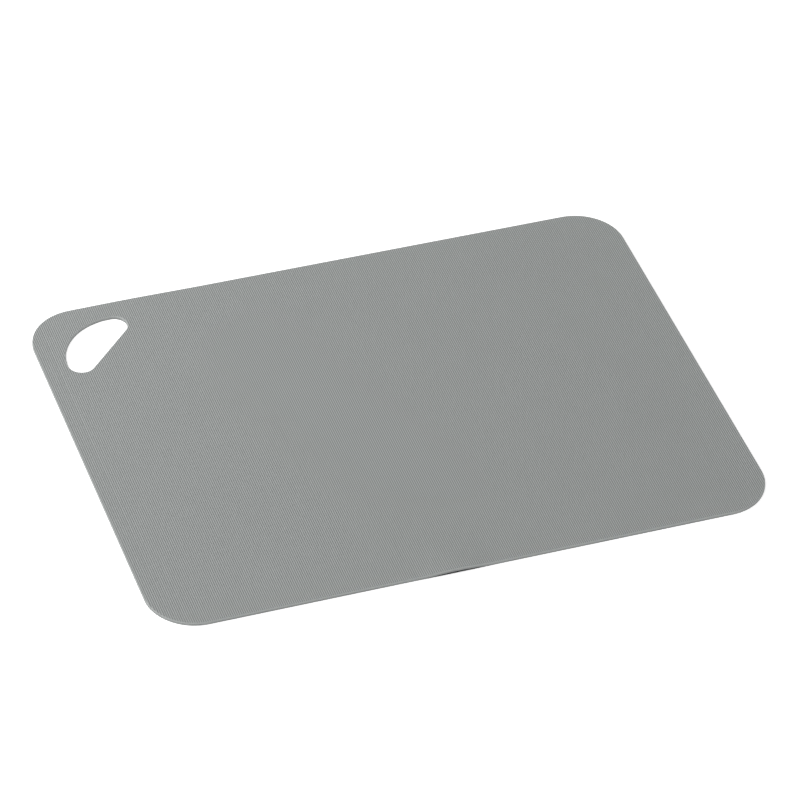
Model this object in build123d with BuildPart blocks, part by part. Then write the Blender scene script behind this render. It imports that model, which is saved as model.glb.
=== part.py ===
from build123d import *
import math
import os

# A flexible cutting mat: one thin sheet made of two bonded layers, with a D-shaped hanging hole in a corner.
# Lengths are in millimetres and angles in degrees. The origin is at the middle of the underside.
# The long sides run along X, the short sides along Y, and food is cut on the face that looks up, along +Z.

# Sheet
mat_length = 380.0
mat_width = 290.0
corner_radius = 30.0

# Layers, from the table upwards
backing_thickness = 0.8
cutting_thickness = 1.2

# Rolled edges, all round the sheet and all round the hole
foot_edge_round = 0.2
hand_edge_round = 0.7

# Hanging hole: a bow towards the corner, closed by a straight side that faces the middle of the mat
bow_radius = 36.6
hole_depth = 25.1
hole_end_radius = 8.3
hole_turn = 45.0
short_side_web = 15.7
long_side_web = 13.3

# The bow's centre keeps a web of sheet between the hole and each side, whatever the size of the sheet
bow_x = -mat_length / 2 + short_side_web + bow_radius
bow_y = mat_width / 2 - long_side_web - bow_radius
straight_side_y = bow_radius - hole_depth
straight_side_reach = math.sqrt(bow_radius**2 - straight_side_y**2)

# Hole outline, drawn about the bow's centre with the corner of the mat along its own +Y
hole_plane = Plane((bow_x, bow_y, 0)).rotated((0, 0, hole_turn))
with BuildSketch(hole_plane) as hanging_hole:
    with BuildLine():
        straight_side = Line(
            (-straight_side_reach, straight_side_y),
            (straight_side_reach, straight_side_y),
        )
        ThreePointArc(straight_side @ 1, (0, bow_radius), straight_side @ 0)
    make_face()
    fillet(hanging_hole.vertices(), hole_end_radius)

# Outline that both layers are cut to in one stroke
with BuildSketch() as sheet_outline:
    RectangleRounded(mat_length, mat_width, corner_radius)
    add(hanging_hole.sketch, mode=Mode.SUBTRACT)

# Grip backing: the soft layer that lies on the table, with its lower edges rolled
with BuildPart() as grip_backing:
    with BuildSketch(Plane.XY):
        add(sheet_outline.sketch)
    extrude(amount=backing_thickness)
    underside = grip_backing.faces().sort_by(Axis.Z)[0]
    fillet(underside.edges(), foot_edge_round)
grip_backing.part.label = "grip_backing"

# Cutting layer: the tougher layer bonded on top, with its upper edges rolled for the hand
with BuildPart() as cutting_layer:
    with BuildSketch(Plane.XY.offset(backing_thickness)):
        add(sheet_outline.sketch)
    extrude(amount=cutting_thickness)
    cutting_face = cutting_layer.faces().sort_by(Axis.Z)[-1]
    fillet(cutting_face.edges(), hand_edge_round)
cutting_layer.part.label = "cutting_layer"

os.makedirs("parts", exist_ok=True)
export_step(grip_backing.part, "parts/grip_backing.step")
export_step(cutting_layer.part, "parts/cutting_layer.step")
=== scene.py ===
import math

import bmesh
import bpy
from mathutils import Matrix, Vector
from mathutils.geometry import delaunay_2d_cdt


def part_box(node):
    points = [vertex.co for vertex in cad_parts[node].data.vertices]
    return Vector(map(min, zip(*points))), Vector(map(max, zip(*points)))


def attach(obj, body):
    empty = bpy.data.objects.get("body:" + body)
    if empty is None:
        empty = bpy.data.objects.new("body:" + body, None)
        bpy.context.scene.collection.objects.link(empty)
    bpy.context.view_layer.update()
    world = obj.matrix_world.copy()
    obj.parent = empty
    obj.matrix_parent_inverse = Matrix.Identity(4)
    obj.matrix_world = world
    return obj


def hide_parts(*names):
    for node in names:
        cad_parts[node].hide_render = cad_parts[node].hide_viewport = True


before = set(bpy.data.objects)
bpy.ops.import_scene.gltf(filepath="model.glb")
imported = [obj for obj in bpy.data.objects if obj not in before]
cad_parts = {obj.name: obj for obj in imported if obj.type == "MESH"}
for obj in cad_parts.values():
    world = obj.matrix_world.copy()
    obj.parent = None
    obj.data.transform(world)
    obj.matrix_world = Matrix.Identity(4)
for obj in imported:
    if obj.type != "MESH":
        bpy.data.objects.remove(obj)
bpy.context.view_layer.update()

# A flexible cutting mat: two bonded layers with rolled edges, a ribbed cutting face and a D-shaped
# hanging hole. Blender works in metres, and lengths below are written in millimetres times MM.
MM = 0.001

# The sheet's own sizes come from the frame.
cutting_low, cutting_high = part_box("cutting_layer")
HALF_LENGTH = cutting_high.x
HALF_WIDTH = cutting_high.y
TOP = cutting_high.z
JOINT = cutting_low.z
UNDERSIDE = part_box("grip_backing")[0].z

# Outline of the sheet and of its hanging hole, as the solids have them
CORNER_RADIUS = 30 * MM
BOW_RADIUS = 36.6 * MM
HOLE_DEPTH = 25.1 * MM
HOLE_END_RADIUS = 8.3 * MM
HOLE_TURN = math.radians(45)
SHORT_SIDE_WEB = 15.7 * MM
LONG_SIDE_WEB = 13.3 * MM

# Rolled edges, on the face that the hand meets and on the face that lies on the table
HAND_EDGE_ROUND = 0.7 * MM
FOOT_EDGE_ROUND = 0.2 * MM

# Embossed relief of the cutting face: fine ribs that run from the near long side to the far one
RIB_PITCH = 1.25 * MM
RIB_HEIGHT = 0.28 * MM

# The limp sheet stands a little off the table near the middle of its near long side, and at its far
# long side beside the hole. A side of -1 is the near one and 1 the far one. Each place fades out over
# its reach to either hand along the side, and over its inward length towards the middle of the sheet.
NEAR_LIFT = {
    "side": -1,
    "middle": -11 * MM,
    "reach": 27 * MM,
    "inward": 40 * MM,
    "out": 0.35 * MM,
    "up": 1.4 * MM,
}
HOLE_LIFT = {
    "side": 1,
    "middle": -125 * MM,
    "reach": 55 * MM,
    "inward": 70 * MM,
    "out": 0,
    "up": 0.4 * MM,
}
LIFTS = (NEAR_LIFT, HOLE_LIFT)

# Fineness of the meshes
RIB_STEP = RIB_PITCH / 6
CORNER_STEPS = 40
HOLE_END_STEPS = 16
BOW_STEPS = 36
EDGE_STEPS = 6
LIFT_ROW = 5 * MM
BACKING_STEP = 5 * MM
MESH_TOLERANCE = 1e-4 * MM

# Map of a layer's surface, for images of its material. The shown face has its edges laid flat round it,
# and the hidden face is smaller and below. Each rib takes three whole pixels, and its top runs along the
# middle of one, so that no broad bands appear.
MAP_NAME = "OFBake"
MAP_SIZE = 1024
MAP_PIXEL = RIB_PITCH / 3
SHOWN_CENTRE = Vector((512.5, 665.5))
HIDDEN_CENTRE = Vector((512.5, 155.5))
HIDDEN_SCALE = 0.42

# The ribs run out over this many steps of the rolled edge, and the roll keeps a share of the painted shade
# of the grooves.
GROOVE_RUNOUT = 3
ROLL_PAINTED_SHADE = 0.2


# Outline of the sheet

# Centres of the sheet's four round corners, as distances from its middle
CORNER_ACROSS = HALF_LENGTH - CORNER_RADIUS
CORNER_UP = HALF_WIDTH - CORNER_RADIUS

# The hole, in its own axes about the centre of its bow, with the corner of the sheet along its own +Y
BOW_CENTRE = Vector((
    -HALF_LENGTH + SHORT_SIDE_WEB + BOW_RADIUS,
    HALF_WIDTH - LONG_SIDE_WEB - BOW_RADIUS,
))
STRAIGHT_SIDE = BOW_RADIUS - HOLE_DEPTH
END_UP = STRAIGHT_SIDE + HOLE_END_RADIUS
END_ALONG = math.sqrt((BOW_RADIUS - HOLE_END_RADIUS) ** 2 - END_UP**2)
END_ANGLE = math.atan2(END_UP, END_ALONG)
HOLE_AXES = Matrix.Rotation(HOLE_TURN, 2)


def arc(centre, radius, start, stop, steps):
    """Points of an arc, its last one left out, so that arcs join into a loop."""
    angles = [start + (stop - start) * step / steps for step in range(steps)]
    return [
        Vector((centre[0] + radius * math.cos(angle), centre[1] + radius * math.sin(angle)))
        for angle in angles
    ]


def sheet_loop(inset):
    """The rounded outline of the sheet, moved inwards by inset."""
    radius = CORNER_RADIUS - inset
    corners = [
        (CORNER_ACROSS, CORNER_UP),
        (-CORNER_ACROSS, CORNER_UP),
        (-CORNER_ACROSS, -CORNER_UP),
        (CORNER_ACROSS, -CORNER_UP),
    ]
    points = []
    for quarter, corner in enumerate(corners):
        start = quarter * math.pi / 2
        points += arc(corner, radius, start, start + math.pi / 2, CORNER_STEPS)
        points.append(Vector(corner) + radius * Vector((-math.sin(start), math.cos(start))))
    return points


def hole_loop(inset):
    """The D-shaped outline of the hanging hole, moved into the sheet by inset."""
    end, bow = HOLE_END_RADIUS + inset, BOW_RADIUS + inset
    points = arc((END_ALONG, END_UP), end, -math.pi / 2, END_ANGLE, HOLE_END_STEPS)
    points += arc((0, 0), bow, END_ANGLE, math.pi - END_ANGLE, BOW_STEPS)
    points += arc((-END_ALONG, END_UP), end, math.pi - END_ANGLE, 1.5 * math.pi, HOLE_END_STEPS)
    points.append(Vector((-END_ALONG, END_UP - end)))
    return [BOW_CENTRE + HOLE_AXES @ point for point in points]


def towards_hole(point):
    """The way into the hole from a point near it, and how far the point is from the hole's edge."""
    own = HOLE_AXES.transposed() @ (point - BOW_CENTRE)
    end_centre = Vector((math.copysign(END_ALONG, own.x), END_UP))
    from_end = own - end_centre
    turn = math.atan2(from_end.y, abs(own.x) - END_ALONG)
    if abs(own.x) <= END_ALONG and own.y < END_UP:
        way, gap = Vector((0, 1)), STRAIGHT_SIDE - own.y
    elif abs(own.x) > END_ALONG and -math.pi / 2 <= turn <= END_ANGLE:
        way, gap = -from_end.normalized(), from_end.length - HOLE_END_RADIUS
    else:
        way, gap = -own.normalized(), own.length - BOW_RADIUS
    return HOLE_AXES @ way, gap


def towards_outside(point):
    """The way out of the sheet from a point near its outline, and how far the point is from it."""
    middle = Vector((
        max(-CORNER_ACROSS, min(CORNER_ACROSS, point.x)),
        max(-CORNER_UP, min(CORNER_UP, point.y)),
    ))
    out = point - middle
    return out.normalized(), CORNER_RADIUS - out.length


def off_edge(point):
    """The way out of the sheet's material at a point of an edge: into the hole, or outwards."""
    into_hole, hole_gap = towards_hole(point)
    outwards, outline_gap = towards_outside(point)
    return into_hole if abs(hole_gap) < abs(outline_gap) else outwards


# Relief of the sheet and how it lies

def ribbed(point):
    """How far down a point lies between two ribs, from 0 on their tops to 1."""
    return 0.5 - 0.5 * math.cos(math.tau * point.x / RIB_PITCH)


def smooth(point):
    """A face with no ribs."""
    return 0


def lift(point):
    """How far the limp sheet stands out and off the table."""
    moved = Vector((0, 0, 0))
    for place in LIFTS:
        along = min(1, abs(point.x - place["middle"]) / place["reach"])
        inward = min(1, (HALF_WIDTH - place["side"] * point.y) / place["inward"])
        share = math.cos(along * math.pi / 2) ** 2 * (1 - inward) ** 2
        moved += share * Vector((0, place["side"] * place["out"], place["up"]))
    return moved


def spread(low, high, step):
    """Evenly spaced values from low to high, about step apart."""
    count = max(1, round((high - low) / step))
    return [low + (high - low) * index / count for index in range(count + 1)]


def lift_rows(x):
    """Extra rows of points across a column where the sheet stands off the table."""
    rows = []
    for place in LIFTS:
        if abs(x - place["middle"]) < place["reach"]:
            inner, outer = HALF_WIDTH - place["inward"], HALF_WIDTH - LIFT_ROW
            rows += [place["side"] * y for y in spread(inner, outer, LIFT_ROW)]
    return sorted(rows)


# Mesh of a layer

def flat_face(inset, columns):
    """Points and triangles of the flat face, with an edge along every column and the hole left open."""
    points, edges, loops = [], [], []
    for loop in (sheet_loop(inset), hole_loop(inset)):
        loops.append(list(range(len(points), len(points) + len(loop))))
        points += loop
    for x in columns:
        first = len(points)
        points += [Vector((x, y)) for y in (-HALF_WIDTH, *lift_rows(x), HALF_WIDTH)]
        edges += [(index, index + 1) for index in range(first, len(points) - 1)]
    # Each triangle comes with the loops that it lies in. The sheet is those in its own loop alone.
    places, _, triangles, _, _, inside = delaunay_2d_cdt(points, edges, loops, 1, MESH_TOLERANCE)
    return places, [triangle for triangle, within in zip(triangles, inside) if within == [0]]


def border_of(triangles):
    """The sides of triangles that no neighbour shares, in the order of the triangle's own corners."""
    sides = set()
    for a, b, c in triangles:
        sides.update(((a, b), (b, c), (c, a)))
    return sorted((start, end) for start, end in sides if (end, start) not in sides)


def rolled_above(radius, low, high):
    """Profile of an edge that is rolled at its top, as insets and heights from the upper face down."""
    turns = [math.pi / 2 * step / EDGE_STEPS for step in range(EDGE_STEPS + 1)]
    roll = [(radius * (1 - math.sin(turn)), high - radius * (1 - math.cos(turn))) for turn in turns]
    return [*roll, (0, low)]


def rolled_below(radius, low, high):
    """Profile of an edge that is rolled at its foot, as insets and heights from the upper face down."""
    turns = [math.pi / 2 * step / EDGE_STEPS for step in range(EDGE_STEPS + 1)]
    roll = [(radius * (1 - math.cos(turn)), low + radius * (1 - math.sin(turn))) for turn in turns]
    return [(0, high), *roll]


def on_map(point, shown, above):
    """Where a point of the shown or the hidden face, seen from outside, comes on the layer's map."""
    centre, scale = (SHOWN_CENTRE, 1) if shown else (HIDDEN_CENTRE, HIDDEN_SCALE)
    across = point.x if above else -point.x
    return (centre + Vector((across, point.y)) * scale / MAP_PIXEL) / MAP_SIZE


def add_face(mesh, corners, spots):
    """A smooth face with its place on the map."""
    face = mesh.faces.new(corners)
    face.smooth = True
    layout = mesh.loops.layers.uv[MAP_NAME]
    for corner, spot in zip(face.loops, spots):
        corner[layout].uv = spot


def shows_above(profile):
    """Whether a layer shows its upper face, which is then the one inside the rolled edge."""
    return profile[0][0] > 0


def from_shown_face(profile):
    """How far each point of an edge's profile lies from the shown face, along the profile."""
    lengths = [0]
    for (inset, z), (next_inset, next_z) in zip(profile, profile[1:]):
        lengths.append(lengths[-1] + math.hypot(next_inset - inset, next_z - z))
    return lengths if shows_above(profile) else [lengths[-1] - length for length in lengths]


def layer(name, columns, profile, relief):
    """A closed sheet: the upper face with its relief, the lower face, and the profile round every edge."""
    inset = max(edge_inset for edge_inset, _ in profile)
    upper_z, lower_z = profile[0][1], profile[-1][1]
    places, triangles = flat_face(inset, columns)
    mesh = bmesh.new()
    mesh.loops.layers.uv.new(MAP_NAME)
    # Each point carries its share of the painted shade between the ribs, set by how deep it lies among
    # them.
    groove_shade = mesh.verts.layers.float.new("groove_shade")
    above = shows_above(profile)
    upper, lower = {}, {}
    for index in sorted({index for triangle in triangles for index in triangle}):
        point, share, moved = places[index], relief(places[index]), lift(places[index])
        upper[index] = mesh.verts.new(Vector((*point, upper_z - RIB_HEIGHT * share)) + moved)
        upper[index][groove_shade] = share
        lower[index] = mesh.verts.new(Vector((*point, lower_z)) + moved)
    for a, b, c in triangles:
        over = [on_map(places[index], above, True) for index in (a, b, c)]
        under = [on_map(places[index], not above, False) for index in (c, b, a)]
        add_face(mesh, (upper[a], upper[b], upper[c]), over)
        add_face(mesh, (lower[c], lower[b], lower[a]), under)

    # Each point of the border carries a ring: the profile's points, from the upper face to the lower.
    border = border_of(triangles)
    rings, spots = {}, {}
    for index in sorted({index for side in border for index in side}):
        point, way = places[index], off_edge(places[index])
        between = [mesh.verts.new() for _ in profile[1:-1]]
        rings[index] = [upper[index], *between, lower[index]]
        spots[index] = [on_map(point + way * reach, True, above) for reach in from_shown_face(profile)]
        for step, (vertex, (edge_inset, z)) in enumerate(zip(rings[index], profile)):
            place = point + way * (inset - edge_inset)
            share = relief(point) * max(0, 1 - step / GROOVE_RUNOUT)
            vertex.co = Vector((*place, z - RIB_HEIGHT * share)) + lift(point)
            # The painted shade of the grooves fades down the roll with them, and the roll keeps its share
            # of it.
            vertex[groove_shade] = max(share, ROLL_PAINTED_SHADE) if step else share
    for start, end in border:
        for step in range(len(profile) - 1):
            corners = ((end, step), (start, step), (start, step + 1), (end, step + 1))
            add_face(mesh, [rings[index][down] for index, down in corners],
                     [spots[index][down] for index, down in corners])
    return smooth_piece(name, mesh)


def smooth_piece(name, mesh):
    """The mesh as an object of the scene, shaded by the size of its faces."""
    data = bpy.data.meshes.new(name)
    mesh.to_mesh(data)
    mesh.free()
    piece = bpy.data.objects.new(name, data)
    bpy.context.scene.collection.objects.link(piece)
    shading = piece.modifiers.new("face_weighted_shading", "WEIGHTED_NORMAL")
    shading.mode = "FACE_AREA_WITH_ANGLE"
    return piece


# Materials

# Numbers of a Mix node's sockets when it mixes colours: its share of the second, the two, and the result
SHARE, FIRST, SECOND, MIXED = 0, 6, 7, 2

# Finish of the cutting face. The real grain is finer than the render can show, so it is drawn this coarse.
RIB_TOP_COLOUR = "#a3a6a5"
# The root colour is painted shade, for the shade that falls between the ribs; the tops have the sheet's
# own grey.
RIB_ROOT_PAINTED_SHADE = "#6e7170"
CUTTING_GRAIN = 0.5 * MM
CUTTING_CLOUDS = 45 * MM
CUT_DEPTH = 0.03 * MM
GRAIN_TO_CUT = 0.3

# Finish of the grip backing
BACKING_COLOURS = ("#959897", "#9b9e9d")
PEBBLE_SIZE = 0.9 * MM
PEBBLE_DEPTH = 0.05 * MM
BACKING_CLOUDS = 30 * MM

# Index of refraction of both plastics
PLASTIC_IOR = 1.5


def linear(hex_colour):
    """An sRGB hex colour as the linear red, green, blue and alpha that the shaders take."""
    shares = [int(hex_colour[index : index + 2], 16) / 255 for index in (1, 3, 5)]
    colour = [
        share / 12.92 if share <= 0.04045 else ((share + 0.055) / 1.055) ** 2.4
        for share in shares
    ]
    return (*colour, 1.0)


def put(owner, kind, inputs=None, **settings):
    """Adds one shader node with its own settings. inputs give each socket its value or what feeds it."""
    node = owner.node_tree.nodes.new(kind)
    for name, value in settings.items():
        setattr(node, name, value)
    for socket, value in (inputs or {}).items():
        if isinstance(value, bpy.types.NodeSocket):
            owner.node_tree.links.new(value, node.inputs[socket])
        else:
            node.inputs[socket].default_value = value
    return node


def blank(kind, name):
    """A new material or world with no nodes in it."""
    owner = kind.new(name)
    owner.use_nodes = True
    owner.node_tree.nodes.clear()
    return owner


def embossed_tpu():
    """Calendered, embossed thermoplastic polyurethane: grey, with painted shade between its ribs and a
    dull sheen.
    """
    tpu = blank(bpy.data.materials, "embossed_tpu")
    place = put(tpu, "ShaderNodeTexCoord")
    grain = put(tpu, "ShaderNodeTexNoise", {
        "Vector": place.outputs["Object"],
        "Scale": 1 / CUTTING_GRAIN,
        "Detail": 2.0,
        "Roughness": 0.6,
    })
    clouds = put(tpu, "ShaderNodeTexNoise", {
        "Vector": place.outputs["Object"],
        "Scale": 1 / CUTTING_CLOUDS,
        "Detail": 2.0,
    })

    # Painted shade darkens the grooves between the ribs, against the paler tops. Faint clouds lie over
    # both.
    groove_shade = put(tpu, "ShaderNodeAttribute", attribute_name="groove_shade")
    ribs = put(tpu, "ShaderNodeMix", {
        SHARE: groove_shade.outputs["Fac"],
        FIRST: linear(RIB_TOP_COLOUR),
        SECOND: linear(RIB_ROOT_PAINTED_SHADE),
    }, data_type="RGBA")
    cloudy = put(tpu, "ShaderNodeMix", {
        SHARE: clouds.outputs["Fac"],
        FIRST: linear("#fbfbfb"),
        SECOND: linear("#ffffff"),
    }, data_type="RGBA")
    colour = put(tpu, "ShaderNodeMix", {
        SHARE: 1.0,
        FIRST: ribs.outputs[MIXED],
        SECOND: cloudy.outputs[MIXED],
    }, data_type="RGBA", blend_type="MULTIPLY")

    # Shallow cuts across the ribs, at the ribs' own pitch. The photograph is too coarse to show them.
    axes = put(tpu, "ShaderNodeSeparateXYZ", {"Vector": place.outputs["Object"]})
    turns = put(tpu, "ShaderNodeMath", {0: axes.outputs["Y"], 1: math.tau / RIB_PITCH},
                operation="MULTIPLY")
    cuts = put(tpu, "ShaderNodeMath", {0: turns.outputs["Value"]}, operation="COSINE")
    height = put(tpu, "ShaderNodeMath", {
        0: grain.outputs["Fac"],
        1: GRAIN_TO_CUT,
        2: cuts.outputs["Value"],
    }, operation="MULTIPLY_ADD")
    bump = put(tpu, "ShaderNodeBump", {
        "Height": height.outputs["Value"],
        "Strength": 0.5,
        "Distance": CUT_DEPTH,
    })

    # The grain makes the dull sheen uneven.
    dull = put(tpu, "ShaderNodeMapRange", {
        "Value": grain.outputs["Fac"],
        "From Min": 0.3,
        "From Max": 0.7,
        "To Min": 0.5,
        "To Max": 0.62,
    })
    surface = put(tpu, "ShaderNodeBsdfPrincipled", {
        "Base Color": colour.outputs[MIXED],
        "Roughness": dull.outputs["Result"],
        "IOR": PLASTIC_IOR,
        "Normal": bump.outputs["Normal"],
    })
    put(tpu, "ShaderNodeOutputMaterial", {"Surface": surface.outputs["BSDF"]})
    return tpu


def matt_tpe():
    """Soft thermoplastic elastomer, cast against a grained roll: matt, pebbled and a shade paler."""
    tpe = blank(bpy.data.materials, "matt_tpe")
    place = put(tpe, "ShaderNodeTexCoord")
    pebbles = put(tpe, "ShaderNodeTexVoronoi", {
        "Vector": place.outputs["Object"],
        "Scale": 1 / PEBBLE_SIZE,
    })
    clouds = put(tpe, "ShaderNodeTexNoise", {
        "Vector": place.outputs["Object"],
        "Scale": 1 / BACKING_CLOUDS,
    })
    first_grey, second_grey = BACKING_COLOURS
    colour = put(tpe, "ShaderNodeMix", {
        SHARE: clouds.outputs["Fac"],
        FIRST: linear(first_grey),
        SECOND: linear(second_grey),
    }, data_type="RGBA")
    bump = put(tpe, "ShaderNodeBump", {
        "Height": pebbles.outputs["Distance"],
        "Strength": 0.6,
        "Distance": PEBBLE_DEPTH,
    })
    dull = put(tpe, "ShaderNodeMapRange", {
        "Value": pebbles.outputs["Distance"],
        "From Min": 0.0,
        "From Max": 0.6,
        "To Min": 0.68,
        "To Max": 0.8,
    })
    surface = put(tpe, "ShaderNodeBsdfPrincipled", {
        "Base Color": colour.outputs[MIXED],
        "Roughness": dull.outputs["Result"],
        "IOR": PLASTIC_IOR,
        "Normal": bump.outputs["Normal"],
    })
    put(tpe, "ShaderNodeOutputMaterial", {"Surface": surface.outputs["BSDF"]})
    return tpe


# The two layers of the mat

# The cutting layer has a column of points at every step of its ribs, and one runs along the middle.
last_step = int((HALF_LENGTH - HAND_EDGE_ROUND) / RIB_STEP)
rib_columns = [step * RIB_STEP for step in range(-last_step, last_step + 1)]
cutting_sheet = layer("cutting_sheet", rib_columns, rolled_above(HAND_EDGE_ROUND, JOINT, TOP), ribbed)
cutting_sheet.data.materials.append(embossed_tpu())
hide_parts("cutting_layer")
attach(cutting_sheet, "root")

backing_reach = HALF_LENGTH - FOOT_EDGE_ROUND
backing_columns = spread(-backing_reach, backing_reach, BACKING_STEP)[1:-1]
grip_sheet = layer("grip_sheet", backing_columns, rolled_below(FOOT_EDGE_ROUND, UNDERSIDE, JOINT), smooth)
grip_sheet.data.materials.append(matt_tpe())
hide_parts("grip_backing")
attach(grip_sheet, "root")


# Studio

FLOOR_HALF = 4000 * MM
FLOOR_DROP = 0.02 * MM

# The camera looks from the near left, as solved from the mat's outline.
AIM = Vector((7.0 * MM, 9.2 * MM, 0))
AZIMUTH = math.radians(-20.42)
ELEVATION = math.radians(40.43)
ROLL = math.radians(2.31)
DISTANCE = 3031.0 * MM

# Width of the camera's sensor in millimetres, and the focal length in pixels of a frame this wide
SENSOR = 36.0
FOCAL_PIXELS = 5067.3
FRAME_PIXELS = 800
FAR_CLIP = 100

# Full light is 1. The softbox gives this share of it, and the room the rest, mostly from the near left.
# The softbox's place and size are in metres.
SOFTBOX_SHARE = 0.32
SOFTBOX_PLACE = Vector((-0.72, 0.5, 0.85))
SOFTBOX_SIZE = 0.5
ROOM_SHARE = 0.67
ROOM_LEAN = Vector((-0.85, -0.9, 0))

# The share of open room over the floor at which its painted shadow is full, and the share at which it
# ends.
# Right beside an edge of the mat that lies down, half of the room is open.
SHADOW_FULL = 0.37
SHADOW_END = 0.49
SHADOW_REACH = 6 * MM
BOARD_GLOW = 0.5
BOARD_COLOUR = "#f4f4f4"
SHADOW_COLOUR = "#3c3c3c"


def shows_background(owner):
    """1 for a camera ray, straight or by way of gloss or glass, and 0 for a ray that gathers light."""
    ray = put(owner, "ShaderNodeLightPath")
    shows = ray.outputs["Is Camera Ray"]
    for kind in ("Is Glossy Ray", "Is Transmission Ray"):
        either = put(owner, "ShaderNodeMath", {0: shows, 1: ray.outputs[kind]}, operation="MAXIMUM")
        shows = either.outputs["Value"]
    return shows


def studio_board():
    """White painted board, lit like the mat and white to the camera, with a painted shadow where the mat
    covers it.
    """
    board = blank(bpy.data.materials, "studio_board")
    shows = shows_background(board)
    # The glow and the paint go dark only where the floor is all but covered: a painted shadow stays there.
    light = put(board, "ShaderNodeAmbientOcclusion", {"Distance": SHADOW_REACH})
    bare = put(board, "ShaderNodeMapRange", {
        "Value": light.outputs["AO"],
        "From Min": SHADOW_FULL,
        "From Max": SHADOW_END,
    })
    shown = put(board, "ShaderNodeMath", {0: shows, 1: bare.outputs["Result"]}, operation="MULTIPLY")
    glow = put(board, "ShaderNodeMath", {0: shown.outputs["Value"], 1: BOARD_GLOW},
               operation="MULTIPLY")
    # The paint's colour turns to the painted shadow's colour where the floor is covered.
    coat_and_painted_shadow = put(board, "ShaderNodeMix", {
        SHARE: bare.outputs["Result"],
        FIRST: linear(SHADOW_COLOUR),
        SECOND: linear(BOARD_COLOUR),
    }, data_type="RGBA")
    paint = put(board, "ShaderNodeBsdfDiffuse", {"Color": coat_and_painted_shadow.outputs[MIXED]})
    white = put(board, "ShaderNodeEmission", {"Strength": glow.outputs["Value"]})
    both = put(board, "ShaderNodeAddShader", {0: paint.outputs["BSDF"], 1: white.outputs["Emission"]})
    put(board, "ShaderNodeOutputMaterial", {"Surface": both.outputs["Shader"]})
    return board


def studio_floor():
    """The plain pale floor that the mat lies on."""
    z = UNDERSIDE - FLOOR_DROP
    corners = [
        (-FLOOR_HALF, -FLOOR_HALF, z),
        (FLOOR_HALF, -FLOOR_HALF, z),
        (FLOOR_HALF, FLOOR_HALF, z),
        (-FLOOR_HALF, FLOOR_HALF, z),
    ]
    data = bpy.data.meshes.new("studio_floor")
    data.from_pydata(corners, [], [(0, 1, 2, 3)])
    data.materials.append(studio_board())
    floor = bpy.data.objects.new("studio_floor", data)
    bpy.context.scene.collection.objects.link(floor)


def studio_room():
    """Soft light from all sides that leans one way, and white where the camera sees past the floor."""
    world = blank(bpy.data.worlds, "studio_room")
    shows = shows_background(world)
    way = put(world, "ShaderNodeTexCoord")
    lean = put(world, "ShaderNodeVectorMath", {0: way.outputs["Generated"], 1: ROOM_LEAN},
               operation="DOT_PRODUCT")
    leaning = put(world, "ShaderNodeMath", {0: lean.outputs["Value"], 1: ROOM_SHARE, 2: ROOM_SHARE},
                  operation="MULTIPLY_ADD")
    light = put(world, "ShaderNodeMath", {0: leaning.outputs["Value"], 1: 0.0}, operation="MAXIMUM")
    strength = put(world, "ShaderNodeMapRange", {
        "Value": shows,
        "To Min": light.outputs["Value"],
        "To Max": 1.0,
    })
    air = put(world, "ShaderNodeBackground", {
        "Color": linear("#ffffff"),
        "Strength": strength.outputs["Result"],
    })
    put(world, "ShaderNodeOutputWorld", {"Surface": air.outputs["Background"]})
    bpy.context.scene.world = world


def softbox():
    """A square lamp that looks at the middle of the mat and gives it its share of full light."""
    lamp = bpy.data.lights.new("softbox", "AREA")
    lamp.shape = "SQUARE"
    lamp.size = SOFTBOX_SIZE
    # This power gives the mat that share, after the lamp's distance and the slant of its light.
    distance = SOFTBOX_PLACE.length
    slant = SOFTBOX_PLACE.z / distance
    lamp.energy = SOFTBOX_SHARE * math.pi**2 * distance**2 / slant
    holder = bpy.data.objects.new("softbox", lamp)
    holder.location = SOFTBOX_PLACE
    holder.rotation_mode = "QUATERNION"
    holder.rotation_quaternion = SOFTBOX_PLACE.to_track_quat("Z", "Y")
    holder.visible_camera = False
    bpy.context.scene.collection.objects.link(holder)


def photo_camera():
    """The camera at the photograph's place, with its long lens and its slight roll."""
    back = Vector((
        math.sin(AZIMUTH) * math.cos(ELEVATION),
        -math.cos(AZIMUTH) * math.cos(ELEVATION),
        math.sin(ELEVATION),
    ))
    right = Vector((0, 0, 1)).cross(back).normalized()
    up = back.cross(right)
    turned_right = math.cos(ROLL) * right + math.sin(ROLL) * up
    turned_up = math.cos(ROLL) * up - math.sin(ROLL) * right
    lens = bpy.data.cameras.new("photo_camera")
    lens.sensor_width = SENSOR
    lens.lens = SENSOR * FOCAL_PIXELS / FRAME_PIXELS
    lens.clip_end = FAR_CLIP
    camera = bpy.data.objects.new("photo_camera", lens)
    turn = Matrix((turned_right, turned_up, back)).transposed().to_4x4()
    camera.matrix_world = Matrix.Translation(AIM + back * DISTANCE) @ turn
    bpy.context.scene.collection.objects.link(camera)
    bpy.context.scene.camera = camera


photo_camera()
studio_floor()
studio_room()
softbox()
bpy.context.scene.view_settings.view_transform = "Standard"

bpy.context.view_layer.update()
